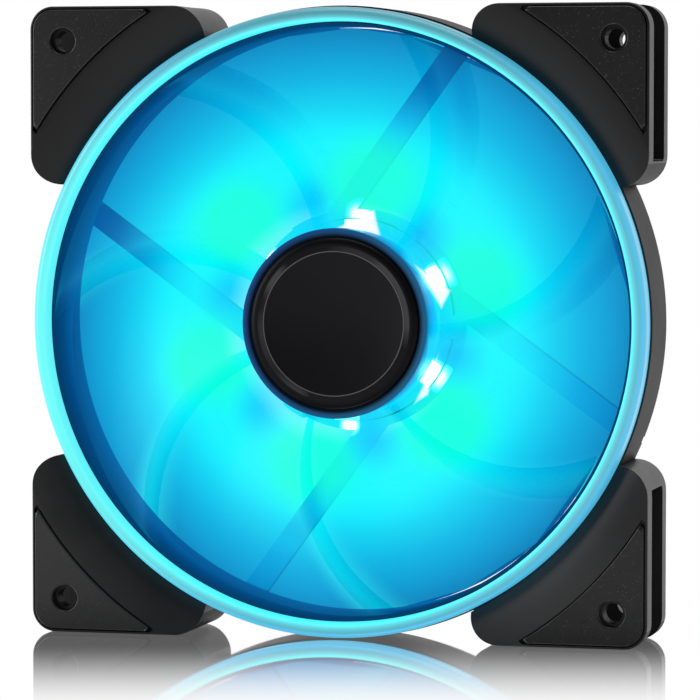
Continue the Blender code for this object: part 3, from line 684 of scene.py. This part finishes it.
def cap_plastic():
    """Satin black, with painted shade darkening its rounded edge, a painted highlight on its fine bead and
    painted reflection patches in a band outside it.
    """
    shader = moulded("cap_plastic", (0.009, 0.008, 0.010), 0.38, 0.12 * MM, 0.006 * MM)
    radius = shader.radius()
    # painted highlight: a pale line on the bead
    bead = shader.math("MULTIPLY", shader.span(radius, CAP_BEAD_R - 0.16 * MM, CAP_BEAD_R - 0.06 * MM),
                       shader.span(radius, CAP_BEAD_R + 0.06 * MM, CAP_BEAD_R + 0.16 * MM, 1.0, 0.0))
    band = shader.math("MULTIPLY", shader.span(radius, CAP_BEAD_R, CAP_BEAD_R + 0.3 * MM),
                       shader.span(radius, CAP_FLAT_R - 0.1 * MM, CAP_FLAT_R + 0.1 * MM, 1.0, 0.0))
    # painted reflection: pale patches in the band outside the bead
    painted_reflection = shader.math("MULTIPLY", band, shader.span(shader.noise(55.0, 1.0), 0.42, 0.52))
    # painted shade: the rounded edge darkened
    tint = shader.mix(shader.span(radius, CAP_FLAT_R, CAP_FLAT_R + 0.8 * MM), (0.0075, 0.007, 0.009),
                      SHADE_BLACK)
    tint = shader.mix(painted_reflection, tint, (0.06, 0.06, 0.065))
    return shader.set(Base_Color=shader.mix(bead, tint, (0.11, 0.11, 0.12)), Specular_IOR_Level=0.1).material


def led_glow():
    """Lit lens, dimmer on the lowest LED."""
    shader = Shader("led_glow")
    _, _, z = shader.parts()
    cloud = shader.noise(1200.0, 2.0)
    shader.set(Base_Color=(0.6, 0.9, 0.95), Roughness=0.25,
               Emission_Strength=shader.span(z, -21 * MM, -18 * MM, 2.0, LED_STRENGTH),
               Emission_Color=shader.ramp(cloud, [(0.35, (0.8, 1.0, 1.0)), (0.65, WHITE)]))
    shader.leave_unsampled()
    return shader


def board_mask():
    """Green solder mask with faint traces under it, flooded with light beside each LED."""
    shader = Shader("board_mask")
    bricks = shader.add("ShaderNodeTexVoronoi")
    bricks.feature = "DISTANCE_TO_EDGE"
    shader.feed(bricks.inputs["Vector"], shader.coords)
    bricks.inputs["Scale"].default_value = 300.0
    trace = shader.span(bricks.outputs["Distance"], 0.04, 0.08)
    spill = shader.led_spots(BOARD_SPILL_R, LED_START, LED_SPILL, LOW_LED_SHARE)
    shader.set(Base_Color=shader.mix(trace, (0.05, 0.3, 0.12), (0.015, 0.13, 0.05)), Roughness=0.35,
               Emission_Color=shader.mix(spill, (0.0, 0.45, 0.85), WHITE),
               Emission_Strength=shader.span(spill, 0.1, 0.9, 1.0, LED_STRENGTH))
    shader.leave_unsampled()
    shader.bump(trace, 0.3, 0.03 * MM)
    return shader


def winding_wire():
    """Enamelled wire laid side by side."""
    shader = Shader("winding_wire")
    wave = shader.add("ShaderNodeTexWave")
    shader.feed(wave.inputs["Vector"], shader.coords)
    wave.inputs["Scale"].default_value = 1100.0
    wave.inputs["Distortion"].default_value = 0.6
    rows = wave.outputs["Fac"]
    shader.set(Base_Color=shader.ramp(rows, [(0.0, (0.16, 0.05, 0.02)), (1.0, (0.62, 0.25, 0.10))]),
               Metallic=0.8, Roughness=0.3)
    shader.bump(rows, 0.6, 0.1 * MM)
    return shader


def label_film():
    """Blank metallised film, brushed in one direction."""
    return metal("label_film", (0.62, 0.63, 0.65), 0.38, (40.0, 40.0, 900.0)).set(Metallic=0.7).material


# ---------------- outlines of the moulding

def pod_outline(grow):
    """Plan of the top right pod, grown outwards or shrunk."""
    side = HALF + grow
    end = HALF - POD_LENGTH - grow
    round_r = POD_END_R + grow
    corner_r = CORNER_R + grow
    middle, inside, corner = end + round_r, side - round_r, side - corner_r
    end_angle = degrees(acos(end / POD_INNER_R))
    return (arc(corner_r, 0, 90, CORNER_STEPS, (corner, corner))
            + arc(round_r, 90, 180, CORNER_STEPS, (middle, inside))
            + arc(POD_INNER_R, end_angle, 90 - end_angle, LONG_STEPS)
            + arc(round_r, -90, 0, CORNER_STEPS, (inside, middle)))


def slot_outline():
    """Plan of the top right pod's slot, run out past the pod's outer sides."""
    past, end = HALF + PAST, HALF - SLOT_LENGTH
    start = degrees(acos(end / SLOT_INNER_R))
    return arc(SLOT_INNER_R, start, 90 - start, LONG_STEPS) + [(past, end), (past, past), (end, past)]


def pad_outline(grow):
    """Plan of the top right pad: a triangle with a hollow long side and cut tips."""
    side = HALF - PAD_INSET + grow
    corner = HALF - CORNER_R
    arc_r = PAD_ARC_R - grow
    start = degrees(asin((side - PAD_TIP_CUT) / arc_r))
    tip = arc_r * cos(radians(start)) + PAD_TIP_CUT
    return (arc(side - corner, 0, 90, CORNER_STEPS, (corner, corner)) + [(tip, side)]
            + arc(arc_r, start, 90 - start, LONG_STEPS) + [(side, tip)])


def strut_outline(width, inner_r, outer_r):
    """Plan of a strut or its groove, which passes the axis at STRUT_OFFSET."""
    foot = radians(STRUT_ANGLE) + acos(STRUT_OFFSET / STRUT_OUTER_R)
    normal, along = (cos(foot), sin(foot)), (sin(foot), -cos(foot))
    points = []
    for radius, side in ((inner_r, 1), (outer_r, 1), (outer_r, -1), (inner_r, -1)):
        offset = STRUT_OFFSET + side * width / 2
        run = sqrt(radius ** 2 - offset ** 2)
        points.append((normal[0] * offset + along[0] * run, normal[1] * offset + along[1] * run))
    return points


# ---------------- housing pieces

def band_y(radius):
    """Depth of the band's surface between the crease and the ring."""
    share = max(0.0, (CREASE_R - radius) / (CREASE_R - BAND_INNER_R))
    return BODY_FRONT + BAND_DROP * (BAND_EVEN * share + (1 - BAND_EVEN) * share ** BAND_POWER)


def is_slot_end(edge):
    """Whether an edge of the slot runs level along one of its two inner ends."""
    first, second = (vert.co for vert in edge.verts)
    end = HALF - SLOT_LENGTH
    on_end = any(abs(first[axis] - end) < TINY and abs(second[axis] - end) < TINY for axis in (0, 2))
    return on_end and abs(first.y - second.y) < TINY and edge.calc_length() > 5 * MM


def is_slot_rim(edge):
    """Whether an edge lies between the slot and the pod's outer sides."""
    ends = [vert.co for vert in edge.verts]
    in_depth = all(SLOT_Y[0] - TINY < co.y < SLOT_Y[1] + TINY for co in ends)
    outside = all(max(co.x, co.z) > HALF - TINY or co.x + co.z > 2 * HALF - 1.2 * CORNER_R for co in ends)
    return edge.calc_face_angle(0) >= radians(50) and in_depth and outside


def pod_mesh():
    """Top right pod with its slot, band, pad pockets and screw holes."""
    front, rear = cad_low.y - PAST, cad_high.y + PAST
    pod = rounded_prism("pod", pod_outline, (BODY_FRONT, BODY_REAR), ROUND)
    steps = [CREASE_R - (CREASE_R - BAND_INNER_R) * k / BAND_STEPS for k in range(BAND_STEPS + 1)]
    band = turned("band", [(r, band_y(r)) for r in steps] + [
        (BAND_INNER_R, RING_REAR + GAP), (SLEEVE_R, RING_REAR + GAP), (SLEEVE_R, front), (CREASE_R, front)])
    slot = prism("slot", slot_outline(), SLOT_Y)
    slot = bevel_edges(slot, is_slot_end, SLOT_ROUND, 5)
    pocket_depth = pad_high.y - BODY_FRONT + GAP
    pocket = pad_outline(GAP)
    centre = (HOLE_HALF_PITCH, HOLE_HALF_PITCH)
    tools = [band, slot, prism("pocket", pocket, (front, BODY_FRONT + pocket_depth)),
             prism("pocket", pocket, (BODY_REAR - pocket_depth, rear)),
             prism("hole", circle(HOLE_R, centre), (front, rear))]
    return bevel_edges(combined(pod, tools, "DIFFERENCE"), is_slot_rim, SLOT_RIM_ROUND, 3)


def shroud_profile():
    seat = RING_REAR + GAP
    lip, edge = 0.2 * MM, 0.4 * MM
    return fillet([
        (DUCT_R, SLEEVE_FRONT_Y, lip), (SLEEVE_R, SLEEVE_FRONT_Y, lip), (SLEEVE_R, seat),
        (SHROUD_R, seat, 0.6 * lip), (SHROUD_R, BODY_REAR, edge), (DUCT_REAR_R, BODY_REAR, edge),
        (DUCT_R, DUCT_FLARE_Y, 3 * MM)])


def base_profile():
    recess, edge = BODY_REAR - LABEL_RECESS, 0.3 * MM
    label_edge = label_high.x + GAP
    return fillet([
        (BOSS_BORE_R, BOSS_Y), (BOSS_R, BOSS_Y, edge), (BOSS_R, BASE_FLOOR_Y), (BASE_WALL_R, BASE_FLOOR_Y),
        (BASE_WALL_R, BASE_WALL_Y, edge), (BASE_R, BASE_WALL_Y, edge), (BASE_R, BODY_REAR, 2 * edge),
        (label_edge, BODY_REAR, edge), (label_edge, recess), (BOSS_BORE_R, recess)])


def strut_mesh():
    """One strut with rounded long edges."""
    mesh = prism("strut", strut_outline(STRUT_WIDTH, STRUT_INNER_R, STRUT_END_R), STRUT_Y)
    return bevel_edges(mesh, lambda edge: edge.calc_length() > 2 * STRUT_WIDTH, STRUT_ROUND, 4)


def post_mesh():
    """One of the posts that stand on the motor base between the LEDs."""
    low, high = POST_START - POST_HALF_ANGLE, POST_START + POST_HALF_ANGLE
    outline = arc(POST_R[1], low, high, 8) + arc(POST_R[0], high, low, 8)
    return prism("post", outline, POST_Y)


def make_frame():
    """The whole moulding as one mesh, with its lit and its flatter faces in materials of their own."""
    pod, strut, post = pod_mesh(), strut_mesh(), post_mesh()
    quarter = [spin_about_y(90 * k) for k in range(STRUT_COUNT)]
    sixth = [spin_about_y(360 / POST_COUNT * k) for k in range(POST_COUNT)]
    shroud = turned("shroud", shroud_profile())
    base = turned("motor_base", base_profile(), BASE_STEPS)
    width, depth = LEAD_GROOVE
    groove = prism("groove", turn(strut_outline(width, LEAD_GROOVE_R, HALF + PAST), LEAD_STRUT_TURN),
                   (STRUT_Y[1] - depth, cad_high.y + PAST))
    solid = combined(shroud, [joined("pods", [(pod, m) for m in quarter]), base,
                              joined("struts", [(strut, m) for m in quarter]),
                              joined("posts", [(post, m) for m in sixth])], "UNION")
    solid = combined(solid, [groove], "DIFFERENCE")
    solid.name = "frame_moulding"
    for face in solid.polygons:
        out = sqrt(face.center.x ** 2 + face.center.z ** 2)
        before_groove = face.center.y < STRUT_Y[1] - depth or out > DUCT_R - GAP
        upright, underside = abs(face.normal.y) < 0.5, face.normal.z < -0.3
        if out < DUCT_REAR_R and face.normal.y < 0.5 and before_groove:
            face.material_index = 1
        elif upright and (out < SHROUD_R + GAP or underside):
            face.material_index = 2
    piece = link("frame_moulding", solid)
    weigh_normals(piece)
    finish_piece(piece, frame_plastic(), "housing", "frame_black", "frame")
    piece.data.materials.append(inside_plastic())
    piece.data.materials.append(side_plastic())


def make_ring():
    shoulder, edge = 1.7 * MM, 0.35 * MM
    inner = SLEEVE_R + GAP
    profile = fillet([(inner, RING_REAR), (inner, RING_FRONT, edge), (RING_R, RING_FRONT, shoulder),
                      (RING_R, RING_REAR, 0.15 * MM)], 10)
    piece = link("light_ring_glow", turned("light_ring_glow", profile))
    return finish_piece(piece, ring_plastic(), "housing", "light_ring", "light_ring")


def pad_mesh(depths):
    """Top right pad with rounded edges and a screw hole with a rounded mouth."""
    body = rounded_prism("pad", pad_outline, depths, PAD_ROUND)
    front, rear = depths
    wide = PAD_HOLE_R + PAD_MOUTH
    bends = [(PAD_HOLE_R + PAD_MOUTH * (1 - sin(a)), PAD_MOUTH * (1 - cos(a)))
             for a in (pi / 8, pi / 4, 3 * pi / 8, pi / 2)]
    profile = [(0, front - PAST), (wide, front - PAST), (wide, front)]
    profile += [(radius, front + depth) for radius, depth in bends]
    profile += [(radius, rear - depth) for radius, depth in reversed(bends)]
    profile += [(wide, rear), (wide, rear + PAST), (0, rear + PAST)]
    hole = turned("hole", profile, HOLE_STEPS, closed=False)
    hole.transform(Matrix.Translation((HOLE_HALF_PITCH, 0, HOLE_HALF_PITCH)))
    return combined(body, [hole], "DIFFERENCE")


def make_pads():
    finish = pad_plastic()
    sides = {"front": (pad_low.y, pad_high.y), "rear": (rear_pad_low.y, rear_pad_high.y)}
    corners = ("top_right", "top_left", "bottom_left", "bottom_right")
    for side, depths in sides.items():
        mesh = pad_mesh(depths)
        for index, corner in enumerate(corners):
            name = f"{side}_pad_soft_{corner}"
            own = mesh.copy()
            own.transform(spin_about_y(90 * index))
            own.name = name
            piece = link(name, own)
            weigh_normals(piece)
            finish_piece(piece, finish, "housing", "pad_black", f"{side}_pad_{corner}")


# ---------------- rotor pieces

def blade_point(across, along):
    """Point of the blade's middle surface: across from root to tip, along from front to rear."""
    radius = BLADE_ROOT_R + (BLADE_TIP_R - BLADE_ROOT_R) * across
    depth = BLADE_ROOT_DEPTH + (BLADE_TIP_DEPTH - BLADE_ROOT_DEPTH) * across
    angle = radians(BLADE_SWEEP * across ** BLADE_SWEEP_POWER - BLADE_WRAP * along)
    y = BLADE_FRONT_Y + depth * along + BLADE_CAMBER * 4 * along * (1 - along)
    return Vector((radius * cos(angle), y, radius * sin(angle)))


def blade_mesh():
    """One blade with a rounded nose, a thinner tail, a thicker root and a rounded tip."""
    tip_round = [(1 - BLADE_TIP_ROUND * (1 - sin(a)) / (BLADE_TIP_R - BLADE_ROOT_R), cos(a))
                 for a in (0, pi / 6, pi / 3, 0.46 * pi)]
    spans = [(tip_round[0][0] * k / BLADE_SPANS, 1.0) for k in range(BLADE_SPANS)] + tip_round
    small = 1e-4
    loops = []
    for across, thin in spans:
        upper, lower = [], []
        root = 1 + BLADE_ROOT_GAIN * max(0.0, 1 - across / BLADE_ROOT_SHARE) ** 2
        for chord in range(BLADE_CHORDS + 1):
            along = 0.5 - 0.5 * cos(pi * chord / BLADE_CHORDS)
            inside = min(max(across, small), 1 - small)
            run = min(max(along, small), 1 - small)
            slope_out = blade_point(inside + small, along) - blade_point(inside - small, along)
            slope_on = blade_point(across, run + small) - blade_point(across, run - small)
            normal = slope_out.cross(slope_on).normalized()
            belly = (1 - (2 * along - 1) ** 6) ** 0.5 if 0 < along < 1 else 0.0
            half = BLADE_THICK / 2 * (BLADE_NOSE - BLADE_TAPER * along) * belly * thin * root
            centre = blade_point(across, along)
            upper.append(centre + normal * half)
            lower.append(centre - normal * half)
        loops.append(upper + lower[-2:0:-1])
    return loft("blade", loops)


def make_impeller():
    edge, fine = 0.6 * MM, 0.2 * MM
    front, rear = HUB_PLATE_Y
    profile = fillet([(HUB_WALL_R, front), (HUB_WALL_R, HUB_Y[0], fine), (HUB_R, HUB_Y[0], edge),
                      (HUB_R, HUB_Y[1], fine), (HUB_WALL_R, HUB_Y[1], fine), (HUB_WALL_R, rear)], 6)
    hub = turned("hub", [(0, front)] + profile + [(0, rear)], HUB_STEPS, closed=False)
    blade = blade_mesh()
    for polygon in blade.polygons:
        polygon.material_index = 1
    parts = [(hub, Matrix.Identity(4))]
    parts += [(blade, spin_about_y(360 / BLADE_COUNT * k)) for k in range(BLADE_COUNT)]
    piece = link("impeller_lit", joined("impeller_lit", parts), 50)
    piece.data.materials.append(hub_plastic())
    return finish_piece(piece, blade_plastic(), "rotor", "impeller_milky", "impeller")


def make_cap():
    """Flat cap with a fine bead inside its rounded edge."""
    bead, edge, steps = 0.12 * MM, 1.1 * MM, 10
    rim = [(CAP_FLAT_R + (CAP_R - CAP_FLAT_R) * sin(a), CAP_FRONT + bead + edge * (1 - cos(a)))
           for a in (pi / 2 * k / steps for k in range(steps + 1))]
    profile = [(0, CAP_FRONT + bead), (CAP_BEAD_R - 0.3 * MM, CAP_FRONT + bead),
               (CAP_BEAD_R - 0.1 * MM, CAP_FRONT), (CAP_BEAD_R + 0.1 * MM, CAP_FRONT)]
    profile += rim + [(CAP_R, CAP_REAR), (0, CAP_REAR)]
    piece = link("hub_cap_satin", turned("hub_cap_satin", profile, HUB_STEPS, closed=False))
    return finish_piece(piece, cap_plastic(), "rotor", "cap_black", "hub_cap")


# ---------------- assembly

def finish_piece(piece, material, body, slot, *nodes):
    """Give a piece its material and its body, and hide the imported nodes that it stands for."""
    piece.data.materials.append(material)
    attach(piece, body)
    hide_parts(*nodes)
    return piece


def make_label():
    edge = 0.06 * MM
    corners = fillet([(label_high.x, label_low.y, edge), (label_high.x, label_high.y, edge),
                      (0, label_high.y), (0, label_low.y)])
    rounded = [(radius, y) for radius, y in corners if radius > 0]
    profile = [(0, label_low.y)] + rounded + [(0, label_high.y)]
    piece = link("rear_label_film", turned("rear_label_film", profile, BASE_STEPS, closed=False))
    return finish_piece(piece, label_film(), "housing", "label_film", "rear_label")


def dress_nodes():
    """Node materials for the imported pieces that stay. The longest start that matches a name wins."""
    steel = metal("ground_steel", (0.55, 0.56, 0.58), 0.28)
    finishes = {
        "bearing_tube": metal("turned_brass", (0.72, 0.52, 0.24), 0.3),
        "bearing_sleeve": metal("sintered_bronze", (0.42, 0.30, 0.17), 0.5),
        "oil_seal_washer": moulded("washer_nylon", (0.7, 0.69, 0.64), 0.5),
        "thrust_plate": moulded("thrust_nylon", (0.62, 0.61, 0.58), 0.4),
        "bearing_end_cap": moulded("end_cap_plastic", (0.02, 0.02, 0.022), 0.45),
        "stator_core": metal("laminations", (0.36, 0.37, 0.39), 0.42, (30.0, 1500.0, 30.0)),
        "insulator": moulded("insulator_nylon", (0.72, 0.71, 0.66), 0.5),
        "coil": winding_wire(),
        "motor_board": board_mask(),
        "driver_chip": moulded("chip_epoxy", (0.02, 0.02, 0.02), 0.55),
        "hall_sensor": moulded("sensor_epoxy", (0.025, 0.025, 0.025), 0.55),
        "capacitor": metal("capacitor_can", (0.66, 0.66, 0.68), 0.32),
        "terminal_pin": metal("tinned_pin", (0.7, 0.68, 0.62), 0.3),
        "led_": led_glow(),
        "rotor_yoke": steel, "shaft": steel, "retaining_clip": steel,
        "shaft_bushing": metal("bushing_brass", (0.70, 0.50, 0.22), 0.32),
        "ring_magnet": moulded("bonded_ferrite", (0.05, 0.045, 0.045), 0.65),
    }
    for name, node in frame["nodes"].items():
        for start in sorted(finishes, key=len):
            if name.startswith(start):
                node.data.materials.clear()
                node.data.materials.append(finishes[start].material)
        if name.startswith("led_"):
            node.visible_diffuse = node.visible_glossy = False


def area_light(name, place, size, power):
    """White rectangular light that faces the fan's centre."""
    data = bpy.data.lights.new(name, "AREA")
    data.shape, data.size, data.size_y = "RECTANGLE", size[0], size[1]
    data.energy = power
    lamp = bpy.data.objects.new(name, data)
    bpy.context.scene.collection.objects.link(lamp)
    lamp.location = place
    lamp.rotation_mode = "QUATERNION"
    lamp.rotation_quaternion = (-Vector(place)).to_track_quat("-Z", "Y")


def make_world():
    """White studio: plain white behind the fan, in a room that is bright behind and dim in front."""
    world = bpy.data.worlds.new("studio")
    bpy.context.scene.world = world
    world.use_nodes = True
    tree = world.node_tree
    add = tree.nodes.new
    background = tree.nodes["Background"]
    background.inputs["Color"].default_value = (1, 1, 1, 1)
    coords, split = add("ShaderNodeTexCoord"), add("ShaderNodeSeparateXYZ")
    tree.links.new(coords.outputs["Generated"], split.inputs[0])
    spread = add("ShaderNodeMapRange")
    tree.links.new(split.outputs["Y"], spread.inputs["Value"])
    spread.inputs["From Min"].default_value, spread.inputs["To Min"].default_value = ROOM_FRONT
    spread.inputs["From Max"].default_value, spread.inputs["To Max"].default_value = ROOM_BACK
    path, blend = add("ShaderNodeLightPath"), add("ShaderNodeMix")
    tree.links.new(path.outputs["Is Camera Ray"], blend.inputs[0])
    tree.links.new(spread.outputs["Result"], blend.inputs[2])
    blend.inputs[3].default_value = 1.0
    tree.links.new(blend.outputs[0], background.inputs["Strength"])


def make_floor():
    """Pale glossy floor, which mirrors the fan where it stands and less further out."""
    bpy.ops.mesh.primitive_plane_add(size=1)
    floor = bpy.context.object
    floor.name = "floor"
    floor.scale = (FLOOR_SIZE, FLOOR_SIZE, 1)
    floor.location = (0, 0, -HALF - FLOOR_DROP)
    material = bpy.data.materials.new("floor")
    material.use_nodes = True
    tree = material.node_tree
    tree.nodes.clear()
    add, wire = tree.nodes.new, tree.links.new
    coords, share = add("ShaderNodeTexCoord").outputs["Object"], None
    all_to_none = (1.0, 0.0)
    fades = ((0, FLOOR_FADE, FLOOR_MIRROR), (90, FLOOR_FADE_BESIDE, all_to_none),
             (180, FLOOR_FADE_BEHIND, all_to_none), (270, FLOOR_FADE_BESIDE, all_to_none))
    for turned_by, reach, shares in fades:
        way = radians(CAMERA_AZIMUTH + turned_by)
        along, fade = add("ShaderNodeVectorMath"), add("ShaderNodeMapRange")
        along.operation, fade.interpolation_type = "DOT_PRODUCT", "SMOOTHSTEP"
        along.inputs[1].default_value = (FLOOR_SIZE * sin(way), -FLOOR_SIZE * cos(way), 0)
        wire(coords, along.inputs[0])
        wire(along.outputs["Value"], fade.inputs["Value"])
        for name, value in zip(("From Min", "From Max", "To Min", "To Max"), reach + shares):
            fade.inputs[name].default_value = value
        if share is None:
            share = fade.outputs["Result"]
            continue
        both = add("ShaderNodeMath")
        both.operation = "MULTIPLY"
        wire(share, both.inputs[0])
        wire(fade.outputs["Result"], both.inputs[1])
        share = both.outputs[0]
    white, gloss, blend, out = (add("ShaderNodeEmission"), add("ShaderNodeBsdfGlossy"),
                                add("ShaderNodeMixShader"), add("ShaderNodeOutputMaterial"))
    gloss.inputs["Roughness"].default_value = 0.04
    gloss.inputs["Color"].default_value = (1, 1, 1, 1)
    wire(share, blend.inputs[0])
    wire(white.outputs[0], blend.inputs[1])
    wire(gloss.outputs[0], blend.inputs[2])
    wire(blend.outputs[0], out.inputs["Surface"])
    floor.data.materials.append(material)


def make_camera():
    azimuth, elevation = radians(CAMERA_AZIMUTH), radians(CAMERA_ELEVATION)
    back = Vector((sin(azimuth) * cos(elevation), -cos(azimuth) * cos(elevation), sin(elevation)))
    right = Vector((0, 0, 1)).cross(back).normalized()
    data = bpy.data.cameras.new("camera")
    data.lens, data.sensor_width, data.clip_start = CAMERA_LENS, SENSOR, 0.01
    camera = bpy.data.objects.new("camera", data)
    bpy.context.scene.collection.objects.link(camera)
    camera.location = back * CAMERA_DISTANCE + right * CAMERA_OFFSET[0] + back.cross(right) * CAMERA_OFFSET[1]
    camera.rotation_mode = "QUATERNION"
    camera.rotation_quaternion = (-back).to_track_quat("-Z", "Y")
    bpy.context.scene.camera = camera


def main():
    make_camera()
    make_frame()
    make_ring()
    make_pads()
    make_impeller()
    make_cap()
    make_label()
    dress_nodes()
    make_world()
    make_floor()
    area_light("side_softbox", SIDE_BOX_PLACE, SIDE_BOX_SIZE, SIDE_BOX_POWER)
    area_light("top_softbox", TOP_BOX_PLACE, TOP_BOX_SIZE, TOP_BOX_POWER)
    bpy.context.scene.view_settings.view_transform = "Standard"


main()
